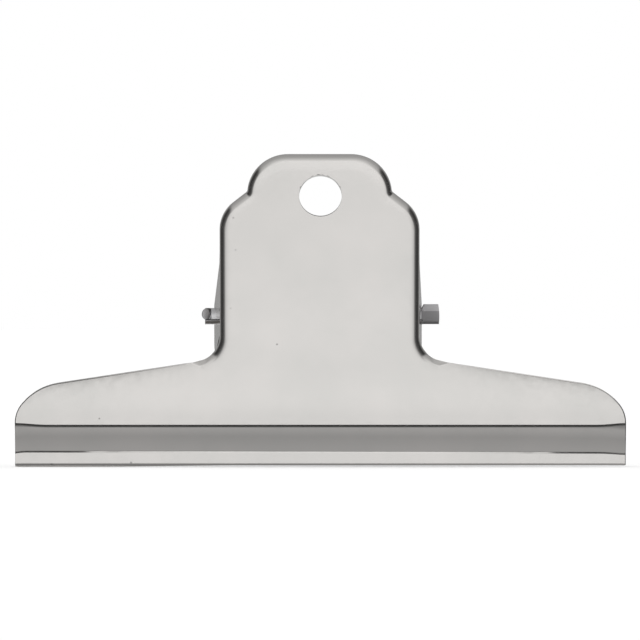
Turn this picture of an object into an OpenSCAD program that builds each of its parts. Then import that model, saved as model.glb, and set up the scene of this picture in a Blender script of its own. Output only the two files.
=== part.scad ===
// Wide-jaw bulldog clip: two stamped plates, a rolled hinge pin and a torsion spring.
// Z is up with the handles on top, X runs along the jaw, and the front plate faces -Y.
// The lowest lip edge lies at z = 0.

/* [Jaw] */
// Length of the jaw, from wing tip to wing tip
jaw_length = 145; // [110:1:180]
// Height of the front lip, which grips the paper
lip_height = 3.2; // [2.4:0.1:4.5]
// How far the rear lip reaches below the front lip
lip_overhang = 0.4; // [0.1:0.1:0.8]
// Height of the sloping band above the lips
band_height = 6.2; // [5:0.1:8]
// How far the band lies back from upright
band_lean = 33; // [26:1:38]
// Gap between the two closed lips
lip_gap = 0.1; // [0.05:0.05:0.4]

/* [Plate] */
// Thickness of the sheet steel
sheet = 0.8; // [0.6:0.05:1]
// How far the faces of the plates lean outwards
face_lean = 15; // [12:0.5:18]
// Height of the face along its slope, from the band to the top rim
face_height = 66; // [64:0.1:76]
// Height on the face at which the wing's top edge would meet the end of the jaw
wing_tip_height = 8.9; // [8.5:0.1:11]
// Slope of the wing's top edge
wing_slope = 8.9; // [7.5:0.1:10]
// Height on the face at which the wing tip leaves the end of the jaw
tip_corner_height = 3.5; // [3.5:0.1:4.5]
// Distance from the end of the jaw at which the wing tip leaves the top edge
tip_corner_run = 5.3; // [5.3:0.1:8]
// Radius of the wing tip at the end of the jaw
tip_low_radius = 7.4; // [4:0.1:7.4]
// Radius of the wing tip at the top edge
tip_high_radius = 14; // [8:0.5:14]
// Radius between the wing and the side of the handle
wing_root_radius = 5.9; // [4:0.1:7]

/* [Handle] */
// Width of the front handle
handle_width = 47.3; // [44:0.1:56]
// How far the handles stand left of the middle of the jaw
handle_offset = 0.2; // [0:0.05:0.4]
// Height on the face of the shoulder's corner
shoulder_height = 51.3; // [48:0.1:53]
// Radius of the shoulder
shoulder_radius = 6; // [4:0.1:7]
// Width across the two notches below the head
notch_width = 33.8; // [32:0.1:36]
// Height on the face of the notch
notch_height = 57.1; // [55:0.1:57.4]
// Radius inside the notch
notch_radius = 1.2; // [0.8:0.1:1.6]
// Width across the corners of the head
head_width = 31.2; // [29:0.1:32]
// Radius of the head's corners
head_radius = 9.4; // [5:0.1:9.4]
// Outer radius of the turned rim
rim_radius = 1.5; // [1.2:0.1:1.8]
// Depth of the turned rim, from the face
rim_depth = 2.2; // [2:0.1:3]
// Diameter of the hanging hole
hole_diameter = 10.2; // [8:0.1:12]
// Height on the face of the hanging hole
hole_height = 56.4; // [52:0.1:57]

/* [Ears] */
// Height of the hinge pin's axis above the front lip's lower edge
pivot_height = 35.4; // [33:0.1:38]
// Height on the face where the ear grows out of the rim
ear_top_height = 39.2; // [36:0.1:46]
// Height on the face of the ear's upper corner
ear_upper_height = 25.6; // [25:0.1:30]
// Height on the face of the ear's lower corner
ear_lower_height = 12.6; // [12:0.1:18]
// Height on the face where the ear's lower edge meets the rim
ear_root_height = 20.5; // [20:0.1:22]
// Distance from the pin's axis to the ear's end
ear_margin = 3.4; // [3:0.1:3.8]
// Radius of the ear's corners
ear_corner_radius = 2; // [1:0.1:2.5]
// How far the front plate's left ear is splayed
left_splay = 6; // [1:0.5:8]
// How far the front plate's right ear is splayed
right_splay = 2.8; // [1:0.1:8]
// How far both ears of the rear plate lean inwards
rear_ear_lean = 2; // [1:0.5:3]
// Side clearance between the front ears and the rear ears inside them
ear_clearance = 0.2; // [0.1:0.05:0.5]

/* [Pin] */
// Outer diameter of the rolled pin
pin_diameter = 3.9; // [3:0.1:4]
// Wall of the rolled pin
pin_wall = 0.65; // [0.5:0.05:0.8]
// Width of the pin's open seam
seam_gap = 0.3; // [0.2:0.05:0.6]
// Radial clearance of the pin in the front ears, which it turns with
pin_seat_clearance = 0.02; // [0.01:0.01:0.04]
// Radial running clearance of the rear ears on the pin
pin_run_clearance = 0.05; // [0.03:0.01:0.08]
// How far the pin stands out of the left ear
left_stand = 2.3; // [1.5:0.1:4]
// How far the pin stands out of the right ear
right_stand = 4.1; // [3:0.1:6]
// Height of the squashed right end
squashed_height = 4.75; // [4.2:0.05:5.5]
// How far the squashed end lies above the pin's axis
squashed_rise = 0.5; // [0:0.05:0.8]
// Thickness of the squashed right end
squashed_depth = 2.6; // [2.2:0.1:3]
// Diameter of the tab bent out of the left end
tab_diameter = 2.9; // [2:0.1:3.4]
// How far the tab is bent away from the end
tab_bend = 24; // [10:1:40]

/* [Spring] */
// Diameter of the spring wire
wire_diameter = 1.8; // [1.4:0.1:2]
// Whole turns of the spring, besides the part turn between its legs
whole_turns = 13; // [8:1:14]
// Open space between two turns
turn_gap = 0.5; // [0.45:0.05:0.7]
// Radial space between the pin and the spring
coil_clearance = 0.4; // [0.3:0.05:0.6]
// Height of the leg's bend above the pin, along the handle
leg_reach = 22; // [18:0.5:24]
// Length of the leg's end that lies along the handle
leg_foot = 5; // [3:0.5:6]
// Radius of the bend in the leg
leg_bend_radius = 4; // [3:0.5:6]
// Space between the leg's end and the handle
leg_clearance = 0.15; // [0.1:0.05:0.3]

/* [Hidden] */

$fn = 72;

// Overrun of every cut past the faces it opens
overrun = 1;
// Concave radius where the lip meets the band, and convex radius where the band meets the face
lip_fold_radius = 0.5;
face_fold_radius = 1.8;
// Length of the wing's edge, next to its root, over which the turned rim starts, the share of a
// right angle that it has turned where the root begins, and the share of the root's arc at which
// it has turned all the way
rim_start = 5;
rim_root_share = 0.12;
rim_full_share = 0.75;
// Straight steps that stand for one rounded corner of a plate's outline, for a fold, for the
// rim's bend, and for a rounded corner of an ear
corner_steps = 7;
fold_steps = 3;
bend_steps = 4;
ear_steps = 6;
// Rings of the spring wire for each turn and each leg bend, and its sides
rings_per_turn = 8;
rings_per_bend = 3;
wire_sides = 6;
// Place of the pin's seam around the pin, from the front, and its share of the squashed end
seam_angle = 27;
slot_share = 0.7;
// Thickness of the disc that starts the taper to the squashed end
taper_disc = 0.1;

jaw_half = jaw_length / 2;
lip_outer = lip_gap / 2 + sheet;
band_foot_z = lip_overhang + lip_height;
crease_z = band_foot_z + band_height;
crease_y = lip_outer + band_height * tan(band_lean);
pivot_z = lip_overhang + pivot_height;

// The pin's axis in the face's own frame: height along the slope and depth below the face
pivot_rise = pivot_z - crease_z;
pivot_n = pivot_rise * sin(face_lean) + crease_y * cos(face_lean);

// Halves of the front handle and of the rear handle, each as its left and its right
front_halves = [handle_width / 2 + handle_offset, handle_width / 2 - handle_offset];
rear_halves = [for (half = front_halves) half - sheet - ear_clearance];
ear_length = pivot_n + ear_margin - rim_radius;
pin_radius = pin_diameter / 2;
splay_run = pivot_n - rim_radius;
left_ear_x = front_halves[0] + splay_run * tan(left_splay);
right_ear_x = front_halves[1] + splay_run * tan(right_splay);
pin_left = -left_ear_x - left_stand;

wire_radius = wire_diameter / 2;
coil_radius = pin_radius + coil_clearance + wire_radius;
coil_pitch = wire_diameter + turn_gap;
leg_depth = pivot_n - sheet - leg_clearance - wire_radius;
leg_span = norm([leg_reach, leg_depth]);
leg_lean = face_lean + atan2(leg_depth, leg_reach) - asin(coil_radius / leg_span);
coil_sweep = 360 * whole_turns + 180 - 2 * leg_lean;
coil_length = coil_pitch * coil_sweep / 360;

// A unit vector, the heading from one point to the next, and the turn at corner i
function way(angle) = [cos(angle), sin(angle)];
function heading(a, b) = atan2(b.y - a.y, b.x - a.x);
function wrapped(angle) = angle > 180 ? angle - 360 : angle < -180 ? angle + 360 : angle;
function turn(c, i) = wrapped(heading(c[i], c[i + 1]) - heading(c[i - 1], c[i]));

// Rounded corner i of the path c: how much of each side it takes, its centre, where it starts,
// and the angle from its centre to its start
function arc_reach(c, r, i) = r[i] * tan(abs(turn(c, i)) / 2);
function arc_centre(c, r, i) =
    let (h = heading(c[i - 1], c[i]))
    c[i] - arc_reach(c, r, i) * way(h) + sign(turn(c, i)) * r[i] * way(h + 90);
function arc_start(c, r, i) = c[i] - arc_reach(c, r, i) * way(heading(c[i - 1], c[i]));
function arc_angle(c, i) = heading(c[i - 1], c[i]) - 90 * sign(turn(c, i));

// Points of corner i, moved left of the path by inset
function arc_points(c, r, i, inset, steps) =
    [for (k = [0:steps])
        arc_centre(c, r, i)
        + (r[i] - sign(turn(c, i)) * inset) * way(arc_angle(c, i) + turn(c, i) * k / steps)];

// All points of an open path with its corners rounded
function rounded(c, r, inset, steps) = let (last = len(c) - 1) [
    c[0] + inset * way(heading(c[0], c[1]) + 90),
    for (i = [1:last - 1]) each arc_points(c, r, i, inset, steps),
    c[last] + inset * way(heading(c[last - 1], c[last]) + 90)
];

// Right half of a plate's face, counter-clockwise from the jaw's end to the middle of the head
function face_corners(half) = let (narrowed = handle_width / 2 - half) [
    [jaw_half, 0],
    [jaw_half, tip_corner_height],
    [jaw_half - tip_corner_run, wing_tip_height + tip_corner_run * tan(wing_slope)],
    [half, wing_tip_height + (jaw_half - half) * tan(wing_slope)],
    [half, shoulder_height],
    [notch_width / 2 - narrowed, notch_height],
    [head_width / 2 - narrowed, face_height],
    [0, face_height]
];
face_radii = [
    0,
    tip_low_radius,
    tip_high_radius,
    wing_root_radius,
    shoulder_radius,
    notch_radius,
    head_radius,
    0
];
tip_low = 1;
tip_high = 2;
wing_root = 3;
head = 6;

// Place on the outer side of a face, and the way along a heading on it
function on_face(p) = [p.x, crease_y + p.y * sin(face_lean), crease_z + p.y * cos(face_lean)];
function along_face(angle) =
    [cos(angle), sin(angle) * sin(face_lean), sin(angle) * cos(face_lean)];
below_face = [0, -cos(face_lean), sin(face_lean)];

// A station is a place on the sheet's edge: the point on its outer side, the way inwards along
// the sheet, the way through the sheet, and how far the rim has turned there, as a share
function face_station(p, angle, rim_share) =
    [on_face(p), -along_face(angle - 90), below_face, rim_share];
function root_share(share) =
    min(1, rim_root_share + (1 - rim_root_share) * share / rim_full_share);
function corner_stations(c, i) = let (h = heading(c[i - 1], c[i]))
    [for (k = [0:corner_steps])
        face_station(
            arc_points(c, face_radii, i, 0, corner_steps)[k],
            h + turn(c, i) * k / corner_steps,
            i < wing_root ? 0 : i == wing_root ? root_share(k / corner_steps) : 1
        )];

// Section through the lip, the band and the fold to the face. x is the distance from the middle.
function jaw_corners(lip_bottom) = [
    [lip_outer, lip_bottom],
    [lip_outer, band_foot_z],
    [crease_y, crease_z],
    [crease_y, crease_z] + face_fold_radius * tan((band_lean - face_lean) / 2) * way(90 - face_lean)
];
jaw_radii = [0, lip_fold_radius, face_fold_radius, 0];
function jaw_stations(lip_bottom) = let (
    outer = rounded(jaw_corners(lip_bottom), jaw_radii, 0, fold_steps),
    inner = rounded(jaw_corners(lip_bottom), jaw_radii, sheet, fold_steps)
) [for (k = [0:len(outer) - 2]) let (through = (inner[k] - outer[k]) / sheet)
    [[jaw_half, outer[k].x, outer[k].y], [-1, 0, 0], [0, through.x, through.y], 0]];

// Stations of the right half, from the lip's lower edge to the head's flat top
function right_stations(half, lip_bottom) = let (
    c = face_corners(half),
    h = heading(c[tip_high], c[wing_root])
) [
    each jaw_stations(lip_bottom),
    each corner_stations(c, tip_low),
    each corner_stations(c, tip_high),
    face_station(arc_start(c, face_radii, wing_root) - rim_start * way(h), h, 0),
    for (i = [wing_root:head]) each corner_stations(c, i)
];

// Section across the sheet's edge: how far in, how deep, and the angle turned. It runs from the
// flat through the bend to the end of the flange.
function rim_section(rim_share) = let (
    bend_length = rim_radius * PI / 2,
    flange = rim_depth - rim_radius,
    turned = 90 * rim_share,
    radius = rim_share == 0 ? 0 : rim_radius / rim_share,
    bend = [for (k = [0:bend_steps]) let (angle = turned * k / bend_steps)
        rim_share == 0
            ? [bend_length * k / bend_steps, 0, 0]
            : [radius * sin(angle), radius * (1 - cos(angle)), angle]],
    end = bend[bend_steps] + flange * [cos(turned), sin(turned), 0]
) [for (q = [each bend, end]) [end.x - q.x, q.y, q.z]];

// Points of one station, out along the outer side of the sheet and back along the inner side
function station_points(st) = let (
    section = rim_section(st[3]),
    outer = [for (q = section) st[0] + q.x * st[1] + q.y * st[2]],
    inner = [for (k = [0:len(section) - 1])
        outer[k] + sheet * (sin(section[k].z) * st[1] + cos(section[k].z) * st[2])]
) [each outer, for (k = [len(inner) - 1:-1:0]) inner[k]];

function flipped(st) = [for (part = st) is_list(part) ? [-part.x, part.y, part.z] : part];

// Sheet of one plate, without its ears and holes. Each station is joined to the next round the
// edge, and to its opposite number across the plate.
module plate_sheet(halves, lip_bottom) {
    left = right_stations(halves[0], lip_bottom);
    right = right_stations(halves[1], lip_bottom);
    top = len(right) - 1;
    stations = [each right, for (k = [top:-1:0]) flipped(left[k])];
    last = len(stations) - 1;
    points = [for (st = stations) each station_points(st)];
    ring = len(points) / len(stations);
    function at(i, k) = i * ring + k;
    function split(a, b, c, d) = [[a, b, c], [a, c, d]];
    edge = [for (i = [0:last - 1]) for (k = [0:ring - 2])
        each split(at(i, k), at(i, k + 1), at(i + 1, k + 1), at(i + 1, k))];
    outer_side = [for (j = [0:top - 1])
        each split(at(j, 0), at(j + 1, 0), at(last - j - 1, 0), at(last - j, 0))];
    inner_side = [for (j = [0:top - 1]) let (k = ring - 1)
        each split(at(last - j, k), at(last - j - 1, k), at(j + 1, k), at(j, k))];
    lip_middle = split(at(0, 0), at(last, 0), at(last, ring - 1), at(0, ring - 1));
    lip_ends = [for (k = [0:ring / 2 - 2]) let (m = ring - 1 - k) each [
        each split(at(0, k), at(0, m), at(0, m - 1), at(0, k + 1)),
        each split(at(last, k + 1), at(last, m - 1), at(last, m), at(last, k))
    ]];
    polyhedron(points, [each edge, each outer_side, each inner_side, each lip_middle, each lip_ends]);
}

// Ear on the right side. Its outline is drawn with x as the height on the face, y as the depth.
module ear(half, splay) {
    tip = rim_radius + ear_length;
    root = (rim_radius + rim_depth) / 2;
    c = [
        [ear_top_height, root],
        [ear_upper_height, tip],
        [ear_lower_height, tip],
        [ear_root_height, root]
    ];
    radii = [0, ear_corner_radius, ear_corner_radius, 0];
    translate([half, 0, rim_radius])
    rotate([0, splay, 0])
    translate([0, 0, -rim_radius])
    rotate([0, -90, 0])
    rotate([0, 0, 90])
    mirror([0, 1, 0])
    linear_extrude(sheet) polygon(rounded(c, radii, 0, ear_steps));
}

// One plate on the +Y side: its sheet and ears, with its holes
module plate(halves, lip_bottom, splays, hole_clearance) {
    difference() {
        union() {
            plate_sheet(halves, lip_bottom);
            translate([0, crease_y, crease_z])
            rotate([90 - face_lean, 0, 0]) {
                ear(halves[1], splays[1]);
                mirror([1, 0, 0]) ear(halves[0], splays[0]);
            }
        }
        translate([0, crease_y, crease_z])
        rotate([90 - face_lean, 0, 0])
        translate([0, hole_height, -overrun])
        cylinder(d = hole_diameter, h = sheet + 2 * overrun);
        translate([-jaw_half, 0, pivot_z])
        rotate([0, 90, 0])
        cylinder(r = pin_radius + hole_clearance, h = jaw_length);
    }
}

module front_plate() {
    color([0.84, 0.83, 0.82])
    mirror([0, 1, 0])
    plate(front_halves, lip_overhang, [left_splay, right_splay], pin_seat_clearance);
}

module rear_plate() {
    color([0.78, 0.77, 0.76])
    plate(rear_halves, 0, [-rear_ear_lean, -rear_ear_lean], pin_run_clearance);
}

// Upright oval slice of the squashed end: a bar with round ends
module squashed_slice(length) {
    straight = squashed_height - squashed_depth;
    linear_extrude(length) {
        square([straight, squashed_depth], center = true);
        for (side = [-1, 1])
            translate([side * straight / 2, 0]) circle(d = squashed_depth);
    }
}

// Drawn along +Z from the left end, then laid along X through the four ears
module hinge_pin() {
    neck = sheet / 2;
    shank = right_ear_x + neck - pin_left;
    taper = right_stand / 4;
    squashed = right_stand - neck - taper;
    color([0.7, 0.7, 0.71])
    translate([pin_left, 0, pivot_z])
    rotate([0, 90, 0]) {
        difference() {
            union() {
                cylinder(r = pin_radius, h = shank);
                hull() {
                    translate([0, 0, shank - taper_disc]) cylinder(r = pin_radius, h = taper_disc, $fn = 32);
                    translate([-squashed_rise, 0, shank + taper]) squashed_slice(taper_disc, $fn = 32);
                }
                translate([-squashed_rise, 0, shank + taper])
                squashed_slice(squashed);
            }
            translate([0, 0, -overrun])
            cylinder(r = pin_radius - pin_wall, h = shank + overrun - pin_wall);
            rotate([0, 0, -90 - seam_angle])
            translate([0, -seam_gap / 2, -overrun])
            cube([pin_diameter, seam_gap, shank + overrun - pin_wall]);
            translate([-squashed_rise, 0, shank + taper])
            translate([-squashed_height * slot_share / 2, -seam_gap / 2, 0])
            cube([squashed_height * slot_share, seam_gap, squashed + overrun]);
        }
        translate([-pin_radius + tab_diameter / 2, 0, 0])
        rotate([0, -tab_bend, 0])
        translate([0, -pin_radius + pin_wall / 2, 0])
        rotate([90, 0, 0])
        cylinder(d = tab_diameter, h = pin_wall, center = true);
    }
}

// Leg path in the upright plane through the pin's axis, from the coil to the tip at the handle
leg_corners = let (
    bend = leg_depth * way(-face_lean) + leg_reach * way(90 - face_lean)
) [
    coil_radius * way(-leg_lean),
    bend,
    bend + leg_foot * way(90 - face_lean)
];
leg_path = rounded(leg_corners, [0, leg_bend_radius, 0], 0, rings_per_bend);

coil_rings = round(rings_per_turn * coil_sweep / 360);
coil_points = [for (k = [0:coil_rings])
    let (
        share = k / coil_rings,
        spot = coil_radius * way(180 + leg_lean + share * coil_sweep)
    )
    [(share - 1 / 2) * coil_length, spot.x, spot.y]];
rear_leg = [for (k = [1:len(leg_path) - 1]) [coil_length / 2, leg_path[k].x, leg_path[k].y]];
front_leg = [for (k = [len(leg_path) - 1:-1:1]) [-coil_length / 2, -leg_path[k].x, leg_path[k].y]];
wire_path = concat(front_leg, coil_points, rear_leg);
coil_first = len(front_leg);

// Least open space between any two turns, measured between ring centres half a turn or more apart
least_gap = min([for (i = [0:len(wire_path) - 1])
    for (j = [i + rings_per_turn / 2:len(wire_path) - 1])
        if (i >= coil_first || j < coil_first + coil_rings)
            norm(wire_path[j] - wire_path[i]) - wire_diameter]);
echo(spring_least_gap = least_gap);

// Ring of the wire square to its path; the pin's direction never lies along the path
function wire_ring(i) = let (
    last = len(wire_path) - 1,
    before = wire_path[max(i - 1, 0)],
    after = wire_path[min(i + 1, last)],
    along = (after - before) / norm(after - before),
    side = cross(along, [1, 0, 0]),
    out = side / norm(side),
    over = cross(along, out)
) [for (k = [0:wire_sides - 1])
    wire_path[i] + wire_radius * (cos(360 * k / wire_sides) * out + sin(360 * k / wire_sides) * over)];

module torsion_spring() {
    last = len(wire_path) - 1;
    points = [for (i = [0:last]) each wire_ring(i)];
    function corner(i, k) = i * wire_sides + k % wire_sides;
    walls = [for (i = [0:last - 1])
        for (k = [0:wire_sides - 1])
            each [
                [corner(i, k), corner(i, k + 1), corner(i + 1, k)],
                [corner(i, k + 1), corner(i + 1, k + 1), corner(i + 1, k)]
            ]];
    first_end = [for (k = [1:wire_sides - 2]) [0, k + 1, k]];
    last_end = [for (k = [1:wire_sides - 2]) [corner(last, 0), corner(last, k), corner(last, k + 1)]];
    color([0.55, 0.55, 0.57])
    translate([0, 0, pivot_z])
    polyhedron(points, concat(walls, first_end, last_end));
}

front_plate();
rear_plate();
hinge_pin();
torsion_spring();
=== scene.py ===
"""Wide-jaw bulldog clip in bright nickel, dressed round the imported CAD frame.

The plates, the pin and the spring are drawn in millimetres, mostly from the same sizes as the
part's source, and become metres when a mesh is made. Z is up, X runs along the jaw, and the front
plate faces -Y.
"""

import contextlib
import math

import bmesh
import bpy
import numpy as np
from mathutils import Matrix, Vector
from mathutils.geometry import delaunay_2d_cdt


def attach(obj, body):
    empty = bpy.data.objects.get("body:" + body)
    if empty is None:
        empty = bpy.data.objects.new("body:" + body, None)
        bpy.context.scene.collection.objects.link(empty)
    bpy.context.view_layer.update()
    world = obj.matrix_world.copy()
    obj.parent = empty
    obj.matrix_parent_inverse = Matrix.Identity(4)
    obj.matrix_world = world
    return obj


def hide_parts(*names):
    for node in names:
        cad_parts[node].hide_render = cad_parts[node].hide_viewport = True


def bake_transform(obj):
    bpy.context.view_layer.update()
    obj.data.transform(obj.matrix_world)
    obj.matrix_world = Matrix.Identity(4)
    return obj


MM = 0.001

# Jaw and plate sizes, as in the part's source
JAW_HALF = 72.5
LIP_HEIGHT = 3.2
LIP_OVERHANG = 0.4
BAND_HEIGHT = 6.2
BAND_LEAN = 33
LIP_GAP = 0.1
SHEET = 0.8
FACE_LEAN = 15
FACE_HEIGHT = 66
WING_TIP_HEIGHT = 8.9
WING_SLOPE = 8.9
TIP_CORNER_HEIGHT = 3.5
TIP_CORNER_RUN = 5.3
TIP_LOW_RADIUS = 7.4
TIP_HIGH_RADIUS = 14
WING_ROOT_RADIUS = 5.9

# Handle, its shoulder and head up to half a millimetre fuller than in the part's source. Each
# pair is its left half and its right half.
HANDLE_HALF = 23.65
FRONT_HALVES = (23.85, 23.45)
REAR_HALVES = (22.85, 22.45)
SHOULDER_HEIGHT = 51.7
SHOULDER_RADIUS = 8.5
NOTCH_HALF = 17.1
NOTCH_HEIGHT = 56.9
NOTCH_RADIUS = 1
HEAD_HALF = 16.1
HEAD_RADIUS = 9.7
RIM_RADIUS = 1.5
RIM_DEPTH = 2.2
HOLE_RADIUS = 5.1
HOLE_HEIGHT = 56.4

# Ears
PIVOT_HEIGHT = 35.4
EAR_TOP_HEIGHT = 39.2
EAR_UPPER_HEIGHT = 25.6
EAR_LOWER_HEIGHT = 12.6
EAR_MARGIN = 3.4
EAR_CORNER_RADIUS = 2
FRONT_SPLAYS = (6, 2.8)
REAR_SPLAYS = (-2, -2)
EAR_HOLE_CLEARANCE = 0.06
# Lengths over which an ear's splay takes hold of the rim's flange, above the ear's foot and above
# its top, and how near to the handle's side that happens
EAR_FOOT_RUN = 2
EAR_TOP_RUN = 3
EAR_SIDE_RANGE = 2

# Pin. Each end stands out of its ear a fifth of a millimetre more than in the part's source.
PIN_RADIUS = 1.95
PIN_WALL = 0.65
SEAM_HALF = 0.15
SEAM_ANGLE = 27
LEFT_STAND = 2.5
RIGHT_STAND = 4.3
SQUASHED_HEIGHT = 4.75
SQUASHED_RISE = 0.5
SQUASHED_DEPTH = 2.6
SQUASH_RUN = 0.6
SQUASH_FLATNESS = 2.2
END_BOW = 0.18
# The tube's upper front is cut back behind the tab: how far, over which length, and where round
# the tube from the seam
PIN_CUT = 1.5
PIN_CUT_RUN = 3
PIN_CUT_START = 225
PIN_CUT_SWEEP = 50
# Height above the squashed end's middle up to which its plated faces get the dark painted shade;
# above it they get the grey painted shade
FLAT_SHADE_TOP = 0.87
# Tab bent out of the left end: its size, its turn, its place from the pin's front end, and how far
# its face leans and cups
TAB_RADIUS = 1.35
TAB_NARROWNESS = 0.8
TAB_TURN = 24
TAB_SHIFT = (0.3, 0.1, 0.5)
TAB_LEAN = 0.35
TAB_CUP = 0.12

# Spring
WIRE_RADIUS = 0.9
WHOLE_TURNS = 13
TURN_GAP = 0.5
COIL_CLEARANCE = 0.4
LEG_REACH = 22
LEG_FOOT = 5
LEG_BEND_RADIUS = 4
LEG_CLEARANCE = 0.15

# Folds and rim
LIP_FOLD_RADIUS = 0.5
RIM_START = 0.9
RIM_ROOT_SHARE = 0.43
RIM_FULL_SHARE = 0.75
# Near that root share the bend is tighter and a slanting flange is longer by this much
ROOT_SPREAD = 0.3
ROOT_TIGHTNESS = 0.6
ROOT_FLANGE = 0.9
# How far the bare edges of the wings and the jaw's ends roll back at the left and the right
EDGE_ROLLS = (9, 27)
# Gentle roll of the sheet before the rim's tight bend
ENTRY_LENGTH = 2
ENTRY_TURN = 4
ENTRY_ROWS = 5
BEND_ROWS = 10
FLANGE_ROWS = 2
# Width of the strip round the edge that holds the rim, and the least length of its bend and its
# flange, where the rim has not turned yet
RIM_STRIP = 3.6
LEAST_BEND = 0.2
LEAST_FLANGE = 0.08

# The two creases at the ends of the jaw, where the press let the sheet go. Each pair is the left
# end and the right end: how far the upper crease rises and over which length, and the same for
# the dip of the lower crease.
END_RISES = (0.6, 0.6)
RISE_RUNS = (7.5, 6.4)
END_DIPS = (0.2, 0.27)
DIP_RUNS = (2.4, 6)
# The upper crease's reach up the face and down the band. At the ends it reaches further down
# and less far up.
CREASE_UP = 0.34
CREASE_DOWN = 0.58
CREASE_WIDER = 0.3
CREASE_SHORTER = 0.15
CREASE_ROWS = 9
# Top of the lip flared towards the ends of the jaw: its height, its angle and where it starts
FLARE_HEIGHT = 0.5
FLARE_ANGLE = 8.2
FLARE_START = 46
FLARE_RUN = 16
FLARE_RADIUS = 0.8
# How far the lip's lower edge stands out, which turns its face a little upwards
LIP_KICK = 0.14
# Height of the rear lip's lower edge at the left end
REAR_LIP_LIFT = 0.04
# Where the rear lip starts to rise, and over which length it goes behind the front one
REAR_LIP_START = -62
REAR_LIP_RUN = 46
# How far the foot of the band stands above the lip's own height, and how it falls to the right
FOOT_LIFT = 0.18
FOOT_FALL = 0.002

# Mesh steps of the plates: degrees along arcs, lengths along lines and across flat faces
ARC_STEP = 4
LEAST_ARC_STEPS = 4
LINE_STEP = 1.6
FILL_STEP = 2
# Rows of the jaw's section: round each fold, and along the lip, its flared top and the band
FOLD_ROWS = 6
JAW_ROWS = (5, 1, 8)
# Rows of an ear's outline: round each corner, and along its top, its tip and its lower side
EAR_CORNER_ROWS = 8
EAR_ROWS = (10, 6, 9)
EAR_FILL_STEP = 1
EAR_HOLE_SIDES = 48
# Rings round the hanging hole, by their distance from it
HOLE_RINGS = (0, 0.2, 0.45)
HOLE_SIDES = 72

# Mesh steps of the pin, the tab and the spring. The pin has rings along its cut end, its tube,
# its squash and its squashed end. A leg has rows round its bend, and before and after it.
PIN_SIDES = 56
PIN_RINGS = (12, 20, 8, 6)
TAB_SIDES = 40
TAB_FILL_STEP = 0.3
WIRE_SIDES = 14
RINGS_PER_TURN = 28
LEG_BEND_ROWS = 8
LEG_ROWS = (10, 4)

# Rounds on the edges, from which angle between faces an edge is rounded, and from which angle it
# stays sharp
EDGE_BEVEL = 0.1
LIP_BEVEL = 0.42
PIN_BEVEL = 0.06
WIRE_BEVEL = 0.12
EDGE_SEGMENTS = 2
LIP_SEGMENTS = 4
ROUND_PROFILE = 0.5
CUT_ANGLE = 55
WIRE_END_ANGLE = 60
PLATE_SHARP = 35
PIN_SHARP = 50
TAB_SHARP = 60
WIRE_SHARP = 40
NORMAL_WEIGHT = 60

# Points nearer than this are merged, and the limits below which lengths count as nothing
MERGE = 0.002
CLOSE = 1e-6
TINY = 1e-12
# A face that looks along the jaw less than this says which way its sheet faces
LEAST_SIDEWAYS = 0.1

# Material slots of a sheet piece. The last two are painted shade on the pin's squashed end: dark on
# its flat front, grey on its top.
PLATED = 0
CUT = 1
SHADED_FLAT = 2
SHADED_TOP = 3

LIP_OUTER = LIP_GAP / 2 + SHEET
FOOT_Z = LIP_OVERHANG + LIP_HEIGHT
CREASE_Z = FOOT_Z + BAND_HEIGHT
CREASE_Y = LIP_OUTER + BAND_HEIGHT * math.tan(math.radians(BAND_LEAN))
PIVOT_Z = LIP_OVERHANG + PIVOT_HEIGHT
LEAN = math.radians(FACE_LEAN)
PIVOT_V = (PIVOT_Z - CREASE_Z) * math.cos(LEAN) - CREASE_Y * math.sin(LEAN)
PIVOT_N = (PIVOT_Z - CREASE_Z) * math.sin(LEAN) + CREASE_Y * math.cos(LEAN)


def smooth(t):
    """Rises from 0 to 1 in an S, as t goes from 0 to 1."""
    t = min(max(t, 0), 1)
    return t * t * (3 - 2 * t)


def way(angle):
    """Unit step in the direction of an angle in degrees."""
    return np.array([math.cos(math.radians(angle)), math.sin(math.radians(angle))])


def heading(a, b):
    """Direction in degrees from one point to another."""
    return math.degrees(math.atan2(b[1] - a[1], b[0] - a[0]))


class Corner:
    """One rounded corner of a path: its reach along the sides, its centre and its sweep."""

    def __init__(self, before, at, after, radius):
        before, at, after = (np.array(p, float) for p in (before, at, after))
        self.heading = heading(before, at)
        self.turn = (heading(at, after) - self.heading + 180) % 360 - 180
        self.side = math.copysign(1, self.turn)
        self.radius = radius
        reach = radius * math.tan(math.radians(abs(self.turn)) / 2)
        self.start = at - reach * way(self.heading)
        self.end = at + reach * way(self.heading + self.turn)
        self.centre = self.start + self.side * radius * way(self.heading + 90)

    def at(self, share):
        spoke = self.heading - 90 * self.side + self.turn * share
        return self.centre + self.radius * way(spoke)


def rounded(corners, radii, arc_rows, line_rows):
    """Points of an open path with rounded corners. Each line and arc has its own count of rows."""
    bends = [
        Corner(corners[i - 1], corners[i], corners[i + 1], radii[i])
        for i in range(1, len(corners) - 1)
    ]
    points = []
    here = np.array(corners[0], float)
    for i, bend in enumerate(bends):
        points += [here + (bend.start - here) * k / line_rows[i] for k in range(line_rows[i])]
        points += [bend.at(k / arc_rows) for k in range(arc_rows)]
        here = bend.end
    last = np.array(corners[-1], float)
    points += [here + (last - here) * k / line_rows[-1] for k in range(line_rows[-1] + 1)]
    return points


def face_corners(half):
    """Corners of the right half of a plate's face, from the jaw's end to the top of the head."""
    narrowed = HANDLE_HALF - half
    slope = math.tan(math.radians(WING_SLOPE))
    return [
        (JAW_HALF, 0),
        (JAW_HALF, TIP_CORNER_HEIGHT),
        (JAW_HALF - TIP_CORNER_RUN, WING_TIP_HEIGHT + TIP_CORNER_RUN * slope),
        (half, WING_TIP_HEIGHT + (JAW_HALF - half) * slope),
        (half, SHOULDER_HEIGHT),
        (NOTCH_HALF - narrowed, NOTCH_HEIGHT),
        (HEAD_HALF - narrowed, FACE_HEIGHT),
        (0, FACE_HEIGHT),
    ]


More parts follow.
